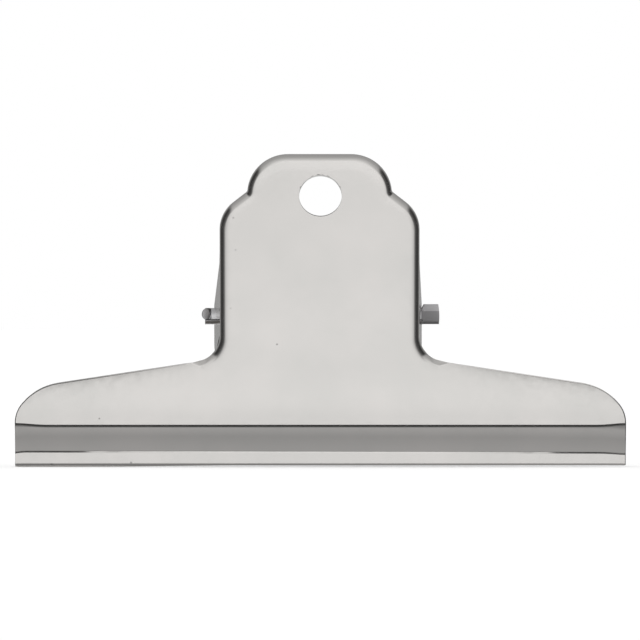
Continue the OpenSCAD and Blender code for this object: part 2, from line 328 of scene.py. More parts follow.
FACE_RADII = (0, TIP_LOW_RADIUS, TIP_HIGH_RADIUS, WING_ROOT_RADIUS, SHOULDER_RADIUS, NOTCH_RADIUS,
              HEAD_RADIUS, 0)
WING_ROOT = 3
HANDLE_SIDE = 4


def edge_stations(half):
    """Right half of a plate's edge from the jaw's end: point, outward heading and rim share."""
    corners = face_corners(half)
    bends = [
        Corner(corners[i - 1], corners[i], corners[i + 1], FACE_RADII[i])
        for i in range(1, len(corners) - 1)
    ]
    stations = []
    here = bends[0].start
    for i, bend in enumerate(bends, 1):
        run = bend.start - here
        length = np.linalg.norm(run)
        stops = [k * LINE_STEP / length for k in range(1, int(length / LINE_STEP))]
        if i == HANDLE_SIDE:
            top = (EAR_TOP_HEIGHT - here[1]) / length
            stops = sorted([s for s in stops if abs(s - top) * length > LINE_STEP / 2] + [top])
        for s in stops:
            left = length * (1 - s)
            share = RIM_ROOT_SHARE * smooth(1 - left / RIM_START) if i == WING_ROOT else 1
            stations.append((here + run * s, bend.heading - 90, 0 if i < WING_ROOT else share))
        steps = max(LEAST_ARC_STEPS, round(abs(bend.turn) / ARC_STEP))
        for k in range(steps + 1):
            share = k / steps
            rim = 0 if i < WING_ROOT else 1
            if i == WING_ROOT:
                rim = RIM_ROOT_SHARE + (1 - RIM_ROOT_SHARE) * smooth(share / RIM_FULL_SHARE)
            stations.append((bend.at(share), bend.heading - 90 + bend.turn * share, rim))
        here = bend.end
    length = here[0]
    steps = int(length / LINE_STEP)
    stations += [(np.array([length * (1 - k / steps), FACE_HEIGHT]), 90, 1)
                 for k in range(1, steps + 1)]
    return stations


def rim_profile(share, side):
    """Rows across the sheet's edge, from the flange's end inwards: how far in and how deep.

    Where the rim starts, at the wing's root, the bend turns less and a slanting flange shows.
    Where there is no rim, the edge only rolls back a little.
    """
    entry = ENTRY_TURN * share
    halfway = smooth(1 - abs(share - RIM_ROOT_SHARE) / ROOT_SPREAD)
    radius = RIM_RADIUS * (1 - ROOT_TIGHTNESS * halfway)
    bend = max(radius * math.radians(90 * share - entry), LEAST_BEND)
    turn = max(90 * share - entry, EDGE_ROLLS[side])
    half_turn = math.radians(turn / 2)
    flange = RIM_DEPTH - RIM_RADIUS * math.cos(math.radians(ENTRY_TURN))
    flange = max((flange - ENTRY_LENGTH * math.sin(math.radians(ENTRY_TURN / 2))) * share,
                 LEAST_FLANGE)
    flange += ROOT_FLANGE * halfway
    across = bend * math.cos(math.radians(entry) + half_turn) * math.sin(half_turn) / half_turn
    across += flange * math.cos(math.radians(entry + turn))
    pieces = (
        (ENTRY_ROWS, RIM_STRIP - across, entry),
        (BEND_ROWS, bend, turn),
        (FLANGE_ROWS, flange, 0),
    )
    angle = 0
    spot = np.zeros(2)
    rows = [spot]
    for count, length, turn in pieces:
        for _ in range(count):
            spot = spot + length / count * way(angle + turn / count / 2)
            angle += turn / count
            rows.append(spot)
    sink = RIM_DEPTH / spot[1] if share == 1 else 1
    return [(spot[0] - row[0], row[1] * sink) for row in reversed(rows)]


def end_share(x, runs):
    """0 away from the ends of the jaw, 1 at them, for a pair of runs at the left and the right."""
    run = runs[x > 0]
    return smooth((abs(x) - JAW_HALF + run) / run)


def crease_rise(x):
    """How far the upper crease rises at a place along the jaw."""
    return END_RISES[x > 0] * end_share(x, RISE_RUNS)


def face_lift(x, v):
    """How far the face stands out of its plane where the upper crease rises."""
    lift = crease_rise(x) * math.sin(math.radians(BAND_LEAN - FACE_LEAN))
    return lift * (1 - smooth(v / WING_TIP_HEIGHT))


def on_face(x, v, n):
    """Place in the upright frame of a point of the rear plate's face, v up and n deep."""
    n = n - face_lift(x, v)
    return (
        x,
        CREASE_Y + v * math.sin(LEAN) - n * math.cos(LEAN),
        CREASE_Z + v * math.cos(LEAN) + n * math.sin(LEAN),
    )


def jaw_column(x, depth, lip_bottom, join):
    """Section through lip, band and fold at one place along the jaw, from the lip's lower edge.

    depth is how far the sheet's edge has rolled back there.
    """
    foot = FOOT_Z + FOOT_LIFT - FOOT_FALL * x - END_DIPS[x > 0] * end_share(x, DIP_RUNS)
    flare = smooth((abs(x) - FLARE_START) / FLARE_RUN) * math.tan(math.radians(FLARE_ANGLE))
    band = way(90 - BAND_LEAN)
    face = way(90 - FACE_LEAN)
    crease = np.array([CREASE_Y, CREASE_Z]) + crease_rise(x) * band
    low = crease - (CREASE_DOWN + CREASE_WIDER * end_share(x, RISE_RUNS)) * band
    high = crease + (CREASE_UP - CREASE_SHORTER * end_share(x, RISE_RUNS)) * face
    corners = [
        (LIP_OUTER + LIP_KICK, lip_bottom),
        (LIP_OUTER, foot - FLARE_HEIGHT),
        (LIP_OUTER + FLARE_HEIGHT * flare, foot),
        low,
    ]
    section = rounded(corners, (0, FLARE_RADIUS, LIP_FOLD_RADIUS), FOLD_ROWS, JAW_ROWS)
    for k in range(1, CREASE_ROWS + 1):
        t = k / CREASE_ROWS
        section.append((1 - t) ** 2 * low + 2 * t * (1 - t) * crease + t * t * high)
    top = on_face(x, join, 0)
    section.append(np.array([top[1], top[2]]))
    back = depth * way(180 - FACE_LEAN)
    return [(x, p[0] + back[0], p[1] + back[1]) for p in section]


def inside(loop, points):
    """Which of the points lie inside the loop."""
    x, y = points[:, 0], points[:, 1]
    found = np.zeros(len(points), bool)
    for a, b in zip(loop, np.roll(loop, -1, axis=0)):
        crosses = (a[1] > y) != (b[1] > y)
        with np.errstate(divide="ignore", invalid="ignore"):
            at = (b[0] - a[0]) * (y - a[1]) / (b[1] - a[1]) + a[0]
        found ^= crosses & (x < at)
    return found


def distance_to(loop, points):
    """Distance of each point from the loop."""
    best = np.full(len(points), np.inf)
    for a, b in zip(loop, np.roll(loop, -1, axis=0)):
        run = b - a
        t = np.clip(((points - a) @ run) / max(run @ run, TINY), 0, 1)
        best = np.minimum(best, np.linalg.norm(points - a - t[:, None] * run, axis=1))
    return best


class Skin:
    """Outer side of a sheet piece: points in millimetres and the faces between them."""

    def __init__(self):
        self.points = []
        self.faces = []

    def grid(self, rows):
        """Faces between rows of points, which all have as many points."""
        first = len(self.points)
        wide = len(rows[0])
        for row in rows:
            self.points += [tuple(p) for p in row]
        for i in range(len(rows) - 1):
            for j in range(wide - 1):
                a = first + i * wide + j
                self.faces.append((a, a + 1, a + wide + 1, a + wide))

    def fill(self, outer, holes, step, place):
        """Fills a flat outline, minus holes, with even triangles."""
        outer = np.array(outer, float)
        holes = [np.array(h, float) for h in holes]
        low, high = outer.min(0), outer.max(0)
        xs = np.arange(low[0] + step / 2, high[0], step)
        ys = np.arange(low[1] + step / 2, high[1], step)
        spots = np.array([(x, y) for x in xs for y in ys])
        keep = inside(outer, spots) & (distance_to(outer, spots) > step / 2)
        for hole in holes:
            keep &= ~inside(hole, spots) & (distance_to(hole, spots) > step / 2)
        loops = [outer] + holes
        verts = [Vector(p) for loop in loops for p in loop]
        edges = []
        base = 0
        for loop in loops:
            edges += [(base + k, base + (k + 1) % len(loop)) for k in range(len(loop))]
            base += len(loop)
        verts += [Vector(p) for p in spots[keep]]
        found = delaunay_2d_cdt(verts, edges, [], 0, CLOSE)
        flat = np.array([tuple(p) for p in found[0]])
        middles = np.array([flat[list(f)].mean(0) for f in found[2]])
        good = inside(outer, middles)
        for hole in holes:
            good &= ~inside(hole, middles)
        first = len(self.points)
        self.points += [tuple(place(p[0], p[1])) for p in flat]
        self.faces += [tuple(first + k for k in f) for f, g in zip(found[2], good) if g]


def circle(centre, radius, count):
    return [np.array(centre) + radius * way(360 * k / count) for k in range(count)]


def side_heights(stations, half):
    """Heights of the stations on the handle's straight side."""
    return [point[1] for point, out, share in stations if abs(point[0] - half) < CLOSE]


def ear_weight(point, half, low):
    """How far an ear's splay takes the flange along at a point of the edge, from 0 to 1."""
    if abs(point[0] - half) >= EAR_SIDE_RANGE:
        return 0
    above_foot = smooth((point[1] - low + EAR_FOOT_RUN) / EAR_FOOT_RUN)
    return above_foot * smooth((EAR_TOP_HEIGHT + EAR_TOP_RUN - point[1]) / EAR_TOP_RUN)


def add_ear(skin, stations, half, splay, side):
    """Ear that hangs from the flange's end between two stations of the handle's side."""
    depth = RIM_DEPTH - RIM_RADIUS
    lean = math.radians(splay)
    tip = PIVOT_N + EAR_MARGIN - RIM_RADIUS
    heights = sorted(h for h in side_heights(stations, half) if h <= EAR_TOP_HEIGHT + CLOSE)
    corners = [
        (EAR_TOP_HEIGHT, depth),
        (EAR_UPPER_HEIGHT, tip),
        (EAR_LOWER_HEIGHT, tip),
        (heights[0], depth),
    ]
    radii = (0, EAR_CORNER_RADIUS, EAR_CORNER_RADIUS)
    free = rounded(corners, radii, EAR_CORNER_ROWS, EAR_ROWS)
    loop = [(h, depth) for h in heights] + free[1:-1]
    centre = (PIVOT_V, (PIVOT_N - RIM_RADIUS) / math.cos(lean))
    hole = circle(centre, PIN_RADIUS + EAR_HOLE_CLEARANCE, EAR_HOLE_SIDES)

    def place(v, d):
        x = half + d * math.sin(lean)
        return on_face(side * x, v, RIM_RADIUS + d * math.cos(lean))

    skin.fill(loop, [hole], EAR_FILL_STEP, place)


def plate_skin(halves, lip_bottom, splays):
    """Outer side of the plate on +Y. lip_bottom gives the lip's lower edge along the jaw."""
    skin = Skin()
    left = edge_stations(halves[0])
    right = edge_stations(halves[1])
    rows = []
    inner = []
    for side, half, splay, stations in ((1, halves[1], splays[1], right),
                                        (-1, halves[0], splays[0], left[-2::-1])):
        lean = math.radians(splay)
        low = min(side_heights(stations, half))
        for point, out, share in stations:
            row = []
            profile = rim_profile(share, side > 0)
            weight = ear_weight(point, half, low)
            for inset, depth in profile:
                spot = point - inset * way(out)
                hang = max(depth - RIM_RADIUS, 0) * weight
                x = spot[0] + hang * math.sin(lean)
                n = depth + hang * (math.cos(lean) - 1)
                row.append(on_face(side * x, spot[1], n))
            rows.append(row)
            spot = point - profile[-1][0] * way(out)
            inner.append((side * spot[0], spot[1]))
    skin.grid(rows)

    join = right[0][0][1]
    left_edge = rim_profile(0, 0)
    right_edge = rim_profile(0, 1)
    left_reach = JAW_HALF - left_edge[-1][0]
    right_reach = JAW_HALF - right_edge[-1][0]
    wide = left_reach + right_reach
    steps = round(wide / LINE_STEP)
    middle = [right_reach - wide * k / steps for k in range(1, steps)]
    columns = [(JAW_HALF - inset, depth) for inset, depth in right_edge]
    columns += [(x, 0) for x in middle]
    columns += [(inset - JAW_HALF, depth) for inset, depth in reversed(left_edge)]
    skin.grid([jaw_column(x, depth, lip_bottom(x), join) for x, depth in columns])

    bottom = [(x, join) for x in reversed(middle)]
    rings = [circle((0, HOLE_HEIGHT), HOLE_RADIUS + r, HOLE_SIDES) for r in HOLE_RINGS]
    skin.grid([[on_face(p[0], p[1], 0) for p in ring + ring[:1]] for ring in rings])
    skin.fill(inner + bottom, [rings[-1]], FILL_STEP, lambda x, v: on_face(x, v, 0))
    add_ear(skin, right, halves[1], splays[1], 1)
    add_ear(skin, left, halves[0], splays[0], -1)
    return skin


def give(piece, *materials):
    """Fills the piece's material slots in order."""
    for material in materials:
        piece.data.materials.append(material)


@contextlib.contextmanager
def edited(mesh):
    """Opens a mesh for editing, and writes it back."""
    work = bmesh.new()
    work.from_mesh(mesh)
    yield work
    work.to_mesh(mesh)
    work.free()


def shade_smooth(work, sharp):
    """Smooth faces, with sharp edges where faces meet at more than the angle."""
    for face in work.faces:
        face.smooth = True
    for edge in work.edges:
        edge.smooth = not (edge.is_manifold and edge.calc_face_angle(0) > math.radians(sharp))


def round_edges(work, edges, size, segments):
    """Rounds the edges by a size in millimetres."""
    bmesh.ops.bevel(work, geom=edges, offset=size * MM, segments=segments, profile=ROUND_PROFILE,
                    affect="EDGES", clamp_overlap=True)


def mesh_object(name, skin, flip_y=False):
    """Blender mesh of a skin, in metres, with its normals outwards."""
    sign = -1 if flip_y else 1
    mesh = bpy.data.meshes.new(name)
    points = [(p[0] * MM, sign * p[1] * MM, p[2] * MM) for p in skin.points]
    mesh.from_pydata(points, [], skin.faces)
    with edited(mesh) as shell:
        bmesh.ops.remove_doubles(shell, verts=shell.verts, dist=MERGE * MM)
        bmesh.ops.recalc_face_normals(shell, faces=shell.faces)
        upright = [f for f in shell.faces if abs(f.normal.x) < LEAST_SIDEWAYS]
        if sum(f.normal.y * f.calc_area() for f in upright) * sign < 0:
            bmesh.ops.reverse_faces(shell, faces=shell.faces)
    piece = bpy.data.objects.new(name, mesh)
    bpy.context.scene.collection.objects.link(piece)
    return piece


def bake_modifiers(piece):
    """Makes the piece's mesh what its modifiers show."""
    graph = bpy.context.evaluated_depsgraph_get()
    mesh = bpy.data.meshes.new_from_object(piece.evaluated_get(graph))
    piece.modifiers.clear()
    piece.data = mesh


def thicken(piece, thickness, bevel, sharp, full_round=None, full_bevel=0):
    """Gives the skin its thickness inwards, and rounds its cut edges.

    full_round picks the edges that get the larger round, full_bevel.
    """
    solid = piece.modifiers.new("thickness", "SOLIDIFY")
    solid.thickness = thickness * MM
    solid.offset = -1
    solid.use_even_offset = False
    solid.use_quality_normals = True
    solid.material_offset_rim = CUT
    bake_modifiers(piece)
    with edited(piece.data) as work:
        if full_round:
            round_edges(work, [e for e in work.edges if full_round(e)], full_bevel, LIP_SEGMENTS)
        cut = math.radians(CUT_ANGLE)
        edges = [e for e in work.edges if e.is_manifold and e.calc_face_angle(0) > cut]
        round_edges(work, edges, bevel, EDGE_SEGMENTS)
        shade_smooth(work, sharp)
    weigh = piece.modifiers.new("normals", "WEIGHTED_NORMAL")
    weigh.keep_sharp = True
    weigh.weight = NORMAL_WEIGHT
    bake_modifiers(piece)


def make_plate(name, halves, lip_bottom, splays, front):
    """One stamped plate. The front one faces -Y."""
    piece = mesh_object(name, plate_skin(halves, lip_bottom, splays), flip_y=front)
    give(piece, nickel, sheared)

    def lip_edge(edge):
        a, b = edge.verts
        outer = [abs(v.co.y) > (LIP_OUTER + LIP_KICK / 2) * MM for v in (a, b)]
        low = all(v.co.z < (LIP_OVERHANG + MERGE) * MM for v in (a, b))
        facing = all(outer) if front else not any(outer)
        return facing and low and abs(a.co.x - b.co.x) > abs(a.co.z - b.co.z)

    thicken(piece, SHEET, EDGE_BEVEL, PLATE_SHARP, full_round=lip_edge, full_bevel=LIP_BEVEL)
    return piece


def front_lip(x):
    """The front lip's lower edge is level all along the jaw."""
    return LIP_OVERHANG


def rear_lip(x):
    """The rear lip shows under the front one at the left and hides behind it at the right."""
    rise = smooth((x - REAR_LIP_START) / REAR_LIP_RUN)
    return REAR_LIP_LIFT + (LIP_OVERHANG - REAR_LIP_LIFT) * rise


def ear_outside(side):
    """Distance from the middle of the jaw to the outside of a front ear, at the pivot."""
    return FRONT_HALVES[side] + (PIVOT_N - RIM_RADIUS) * math.tan(math.radians(FRONT_SPLAYS[side]))


def make_pin():
    """Rolled pin: an open tube, its right end squashed and its left end's upper front cut back behind
    the tab.
    """
    start = -ear_outside(0) - LEFT_STAND
    right = ear_outside(1)
    end = right + RIGHT_STAND
    squashed = right + SQUASH_RUN
    cut = start + PIN_CUT_RUN
    seam = math.degrees(SEAM_HALF / PIN_RADIUS)
    angles = np.linspace(seam, 360 - seam, PIN_SIDES + 1)
    stops = (start, cut, right, squashed)
    xs = [x for stop, after, rings in zip(stops, stops[1:], PIN_RINGS)
          for x in np.linspace(stop, after, rings, endpoint=False)]
    xs += list(np.linspace(squashed, end, PIN_RINGS[-1]))
    straight = (SQUASHED_HEIGHT - SQUASHED_DEPTH) / 2
    rows = []
    for x in xs:
        t = smooth((x - right) / SQUASH_RUN)
        back = PIN_CUT * (1 - smooth((x - start) / PIN_CUT_RUN))
        row = []
        for a in angles:
            closed = 180 + (a - 180) * (1 + t * seam / (180 - seam))
            spoke = way(180 + SEAM_ANGLE + closed)
            lift = straight * max(-1, min(1, spoke[1] * SQUASH_FLATNESS))
            flat_spot = SQUASHED_DEPTH / 2 * spoke + np.array([0, lift + SQUASHED_RISE])
            spot = PIN_RADIUS * spoke * (1 - t) + flat_spot * t
            bow = END_BOW * (spot[1] / SQUASHED_HEIGHT * 2) ** 2 if x == end else 0
            shift = back * smooth((a - PIN_CUT_START) / PIN_CUT_SWEEP)
            row.append((x - bow + shift, spot[0], PIVOT_Z + spot[1]))
        rows.append(row)
    skin = Skin()
    skin.grid(rows)
    piece = mesh_object("rolled_pin", skin)
    with edited(piece.data) as shell:
        top = max(shell.faces, key=lambda f: f.calc_center_median().z)
        if top.normal.z < 0:
            bmesh.ops.reverse_faces(shell, faces=shell.faces)
    give(piece, zinc, sheared, flat_shade_paint, top_shade_paint)
    thicken(piece, PIN_WALL, PIN_BEVEL, PIN_SHARP)
    # The squashed end's plated faces get painted shade: the dark material up to the flat's top, the
    # grey one above it.
    flat_shade_top = PIVOT_Z + SQUASHED_RISE + FLAT_SHADE_TOP
    for face in piece.data.polygons:
        if face.material_index == PLATED and face.center.x > right * MM:
            face.material_index = SHADED_FLAT if face.center.z < flat_shade_top * MM else SHADED_TOP
    return piece


def make_tab():
    """Tab bent out of the pin's left end."""
    skin = Skin()
    narrowed = math.cos(math.radians(TAB_TURN))
    start = -ear_outside(0) - LEFT_STAND
    centre = Vector((start, -PIN_RADIUS, PIVOT_Z)) + Vector(TAB_SHIFT)

    def place(a, b):
        back = TAB_LEAN * a / TAB_RADIUS + TAB_CUP * (a * a + b * b) / TAB_RADIUS ** 2
        return (centre.x + a * narrowed, centre.y + back, centre.z + b)

    loop = [TAB_RADIUS * p * (TAB_NARROWNESS, 1) for p in circle((0, 0), 1, TAB_SIDES)]
    skin.fill(loop, [], TAB_FILL_STEP, place)
    piece = mesh_object("pin_tab", skin)
    with edited(piece.data) as shell:
        if sum(f.normal.y for f in shell.faces) > 0:
            bmesh.ops.reverse_faces(shell, faces=shell.faces)
    give(piece, bent, sheared)
    thicken(piece, PIN_WALL, EDGE_BEVEL, TAB_SHARP)
    return piece


def spring_path():
    """Middle line of the wire: front leg, coil, rear leg."""
    coil_radius = PIN_RADIUS + COIL_CLEARANCE + WIRE_RADIUS
    depth = PIVOT_N - SHEET - LEG_CLEARANCE - WIRE_RADIUS
    span = math.hypot(LEG_REACH, depth)
    lean = FACE_LEAN + math.degrees(math.atan2(depth, LEG_REACH) - math.asin(coil_radius / span))
    sweep = 360 * WHOLE_TURNS + 180 - 2 * lean
    length = (2 * WIRE_RADIUS + TURN_GAP) * sweep / 360
    bend = depth * way(-FACE_LEAN) + LEG_REACH * way(90 - FACE_LEAN)
    corners = [coil_radius * way(-lean), bend, bend + LEG_FOOT * way(90 - FACE_LEAN)]
    leg = rounded(corners, (0, LEG_BEND_RADIUS), LEG_BEND_ROWS, LEG_ROWS)
    rings = round(RINGS_PER_TURN * sweep / 360)
    coil = []
    for k in range(rings + 1):
        spot = coil_radius * way(180 + lean + k / rings * sweep)
        coil.append(((k / rings - 0.5) * length, spot[0], spot[1]))
    rear = [(length / 2, p[0], p[1]) for p in leg[1:]]
    front = [(-length / 2, -p[0], p[1]) for p in reversed(leg[1:])]
    path = [np.array(p) + (0, 0, PIVOT_Z) for p in front + coil + rear]
    return path, length


def make_spring():
    """The wire as a closed tube, and the length of its coil."""
    path, length = spring_path()
    rows = []
    for i, spot in enumerate(path):
        along = path[min(i + 1, len(path) - 1)] - path[max(i - 1, 0)]
        along = along / np.linalg.norm(along)
        out = np.cross(along, (1, 0, 0))
        out = out / np.linalg.norm(out)
        over = np.cross(along, out)
        ring = [way(360 * k / WIRE_SIDES) for k in range(WIRE_SIDES + 1)]
        rows.append([spot + WIRE_RADIUS * (c[0] * out + c[1] * over) for c in ring])
    skin = Skin()
    skin.grid(rows)
    last = len(skin.points) - len(rows[-1])
    skin.faces.append(tuple(range(WIRE_SIDES)))
    skin.faces.append(tuple(last + k for k in reversed(range(WIRE_SIDES))))
    piece = mesh_object("spring_wire", skin)
    give(piece, steel)
    with edited(piece.data) as shell:
        bmesh.ops.recalc_face_normals(shell, faces=shell.faces)
        end = math.radians(WIRE_END_ANGLE)
        ends = [e for e in shell.edges if e.calc_face_angle(0) > end]
        round_edges(shell, ends, WIRE_BEVEL, EDGE_SEGMENTS)
        shade_smooth(shell, WIRE_SHARP)
    return piece, length


# Finish of the metals, with scales per millimetre: broad clouds of colour, finer patches of gloss,
# lines drawn up the plates, pits, and a relief so many millimetres deep
CLOUD_SCALE = 0.06
CLOUD_DETAIL = 4
CLOUD_STOPS = (0.35, 0.65)
PATCH_SCALE = 0.5
PATCH_DETAIL = 3
PATCH_ROUGHNESS = 0.6
LINE_STRETCH = (3, 3, 0.12)
LINE_DETAIL = 4
LINE_ROUGHNESS = 0.7
LINE_GLOSS = 0.03
PIT_SCALE = 0.16
PIT_SHADE = 0.55
PIT_CORE = 0.02
PIT_RIM = 0.05
# Metallic level of the pin's two painted-shade materials
SHADE_PAINT_METALLIC = 0.25
RELIEF_STRENGTH = 0.06
RELIEF_DEPTH = 0.02
PATCH_RELIEF = 0.5
# Places of the colour sockets on a Mix node
MIX_A = 6
MIX_B = 7
MIX_RESULT = 2


class Nodes:
    """Short hand for a node tree."""

    def __init__(self, tree):
        self.tree = tree
        tree.nodes.clear()

    def add(self, kind, **settings):
        node = self.tree.nodes.new(kind)
        for key, value in settings.items():
            setattr(node, key, value)
        return node

    def link(self, a, b):
        self.tree.links.new(a, b)

    def math(self, operation, a, b=None):
        node = self.add("ShaderNodeMath", operation=operation)
        for socket, value in zip(node.inputs, (a, b)):
            if value is None:
                continue
            if isinstance(value, bpy.types.NodeSocket):
                self.link(value, socket)
            else:
                socket.default_value = value
        return node.outputs[0]

    def noise(self, vector, scale, detail, roughness=0.5):
        node = self.add("ShaderNodeTexNoise")
        node.inputs["Scale"].default_value = scale
        node.inputs["Detail"].default_value = detail
        node.inputs["Roughness"].default_value = roughness
        self.link(vector, node.inputs["Vector"])
        return node.outputs["Fac"]

    def ramp(self, value, stops):
        """Colour between two stops."""
        node = self.add("ShaderNodeValToRGB")
        for element, (place, colour) in zip(node.color_ramp.elements, stops):
            element.position = place
            element.color = (*colour, 1)
        self.link(value, node.inputs["Fac"])
        return node.outputs["Color"]

    def span(self, value, low, high, from_low=0.3, from_high=0.7):
        """Low to high as the value goes over its range, which for a noise is 0.3 to 0.7."""
        node = self.add("ShaderNodeMapRange")
        node.inputs["From Min"].default_value = from_low
        node.inputs["From Max"].default_value = from_high
        node.inputs["To Min"].default_value = low
        node.inputs["To Max"].default_value = high
        self.link(value, node.inputs["Value"])
        return node.outputs[0]

    def millimetres(self, stretch=(1, 1, 1)):
        """Place on the piece in millimetres, squeezed where a stretch is below 1."""
        place = self.add("ShaderNodeTexCoord").outputs["Object"]
        node = self.add("ShaderNodeMapping")
        node.inputs["Scale"].default_value = [s / MM for s in stretch]
        self.link(place, node.inputs["Vector"])
        return node.outputs["Vector"]


def metal(name, dark, light, rough, pitted=False, metallic=1):
    """Metal with clouded colour, uneven gloss, faint drawn lines and, if plated, small pits."""
    material = bpy.data.materials.new(name)
    material.use_nodes = True
    n = Nodes(material.node_tree)
    shader = n.add("ShaderNodeBsdfPrincipled")
    shader.inputs["Metallic"].default_value = metallic
    output = n.add("ShaderNodeOutputMaterial")
    n.link(shader.outputs[0], output.inputs[0])
    plain = n.millimetres()
    drawn = n.millimetres(LINE_STRETCH)
    clouds = n.noise(plain, CLOUD_SCALE, CLOUD_DETAIL)
    patches = n.noise(plain, PATCH_SCALE, PATCH_DETAIL, PATCH_ROUGHNESS)
    lines = n.noise(drawn, 1, LINE_DETAIL, LINE_ROUGHNESS)
    colour = n.ramp(clouds, zip(CLOUD_STOPS, (dark, light)))
    if pitted:
        cells = n.add("ShaderNodeTexVoronoi")
        cells.inputs["Scale"].default_value = PIT_SCALE
        n.link(plain, cells.inputs["Vector"])
        pit = n.span(cells.outputs["Distance"], PIT_SHADE, 1, PIT_CORE, PIT_RIM)
        mix = n.add("ShaderNodeMix", data_type="RGBA", blend_type="MULTIPLY")
        mix.inputs[0].default_value = 1
        n.link(colour, mix.inputs[MIX_A])
        n.link(pit, mix.inputs[MIX_B])
        colour = mix.outputs[MIX_RESULT]
    n.link(colour, shader.inputs["Base Color"])
    gloss = n.math("ADD", n.span(patches, *rough), n.span(lines, 0, LINE_GLOSS))
    n.link(gloss, shader.inputs["Roughness"])
    relief = n.add("ShaderNodeBump")
    relief.inputs["Strength"].default_value = RELIEF_STRENGTH
    relief.inputs["Distance"].default_value = RELIEF_DEPTH * MM
    height = n.math("ADD", lines, n.math("MULTIPLY", patches, PATCH_RELIEF))
    n.link(height, relief.inputs["Height"])
    n.link(relief.outputs[0], shader.inputs["Normal"])
    return material


# Light: how bright the floor glows for camera and reflections, its paint, the world's level for
# diffuse light, and the two soft suns
FLOOR_GLOW = 0.24
FLOOR_PAINT = 0.8
WORLD_LEVEL = 0.7
KEY_DIRECTION = (0.5, 0.8, -1)
KEY_STRENGTH = 0.9
FILL_DIRECTION = (-0.8, 0.9, -0.6)
FILL_STRENGTH = 0.45
SUN_ANGLE = 50
# Half the floor's width, in metres
FLOOR_HALF = 60


def seen_rays(n):
    """1 for camera, glossy and transmission rays, which all see the white background."""
    path = n.add("ShaderNodeLightPath")
    seen = n.math("MAXIMUM", path.outputs["Is Camera Ray"], path.outputs["Is Glossy Ray"])
    return n.math("MAXIMUM", seen, path.outputs["Is Transmission Ray"])


def make_floor():
    """Pale floor, white to the camera and to reflections, that keeps the clip's shadow."""
    half = FLOOR_HALF
    mesh = bpy.data.meshes.new("floor")
    mesh.from_pydata([(-half, -half, 0), (half, -half, 0), (half, half, 0), (-half, half, 0)],
                     [], [(0, 1, 2, 3)])
    floor = bpy.data.objects.new("floor", mesh)
    bpy.context.scene.collection.objects.link(floor)
    material = bpy.data.materials.new("pale_floor")
    material.use_nodes = True
    n = Nodes(material.node_tree)
    paint = n.add("ShaderNodeBsdfDiffuse")
    paint.inputs["Color"].default_value = (FLOOR_PAINT, FLOOR_PAINT, FLOOR_PAINT, 1)
    glow = n.add("ShaderNodeEmission")
    n.link(n.math("MULTIPLY", seen_rays(n), FLOOR_GLOW), glow.inputs["Strength"])
    both = n.add("ShaderNodeAddShader")
    n.link(paint.outputs[0], both.inputs[0])
    n.link(glow.outputs[0], both.inputs[1])
    output = n.add("ShaderNodeOutputMaterial")
    n.link(both.outputs[0], output.inputs[0])
    mesh.materials.append(material)


def make_world():
    """White background, and a lower level of light on the clip."""
    world = bpy.data.worlds.new("studio")
    bpy.context.scene.world = world
    world.use_nodes = True
    n = Nodes(world.node_tree)
    back = n.add("ShaderNodeBackground")
    back.inputs["Color"].default_value = (1, 1, 1, 1)
    level = n.math("ADD", n.math("MULTIPLY", seen_rays(n), 1 - WORLD_LEVEL), WORLD_LEVEL)
    n.link(level, back.inputs["Strength"])
    output = n.add("ShaderNodeOutputWorld")
    n.link(back.outputs[0], output.inputs[0])


def card(name, rows):
    """Studio card that only reflections see: rows of ((x, y, z) in mm, brightness)."""
    skin = Skin()
    skin.grid([[spot for spot, level in row] for row in rows])
    mesh = bpy.data.meshes.new(name)
    mesh.from_pydata([[c * MM for c in spot] for spot in skin.points], [], skin.faces)
    shade = mesh.attributes.new("level", "FLOAT_COLOR", "POINT")
    levels = [level for row in rows for spot, level in row]
    shade.data.foreach_set("color", [c for level in levels for c in (level, level, level, 1)])
    piece = bpy.data.objects.new(name, mesh)
    bpy.context.scene.collection.objects.link(piece)
    material = bpy.data.materials.new(name)
    material.use_nodes = True
    n = Nodes(material.node_tree)
    glow = n.add("ShaderNodeEmission")
    n.link(n.add("ShaderNodeAttribute", attribute_name="level").outputs["Color"],
           glow.inputs["Color"])
    output = n.add("ShaderNodeOutputMaterial")
    n.link(glow.outputs[0], output.inputs[0])
    mesh.materials.append(material)
    piece.visible_camera = False
    piece.visible_diffuse = False
    piece.visible_shadow = False
    piece.visible_transmission = False
    piece.visible_volume_scatter = False


def sun(name, direction, strength):
    """Soft sun that reflections don't see."""
    lamp = bpy.data.lights.new(name, "SUN")
    lamp.energy = strength
    lamp.angle = math.radians(SUN_ANGLE)
    holder = bpy.data.objects.new(name, lamp)
    holder.rotation_euler = Vector(direction).to_track_quat("-Z", "Y").to_euler()
    holder.visible_glossy = False
    bpy.context.scene.collection.objects.link(holder)


# Camera: far off with a long lens, level, at the middle of the photograph's frame, in metres
CAMERA_DISTANCE = 4
FRAME_WIDTH = 0.152
CAMERA_X = -0.0001
CAMERA_HEIGHT = 0.0349
SENSOR_WIDTH = 36
CLIP_END = 200

# Dome of reflections round the clip, in degrees from the floor up and steps round it
DOME_RADIUS = 1600
DOME_ELEVATIONS = (0, 2, 4, 6, 9, *range(12, 37, 3), 40, 45, *range(50, 91, 10))
DOME_STEP = 4
# Fans of reflections on the floor at the sides: their apex in the right half of the clip, their
# angles from straight ahead, the rings from their near edge to their far one, and their height
APEX_X = 24
APEX_Y = -12
FAN_ANGLES = (*range(3, 14, 2), 16, *range(20, 180, 5))
FAN_RINGS = 14
FLOOR_LIFT = 0.4
# The near edge leaves free what the wings reflect ahead, and keeps this far from the clip's side
WING_NEAR = 41
WING_SKEW = 0.29
SIDE_NEAR = 51
# Height of the handle's rim, from which the fans are seen
RIM_HEIGHT = 50

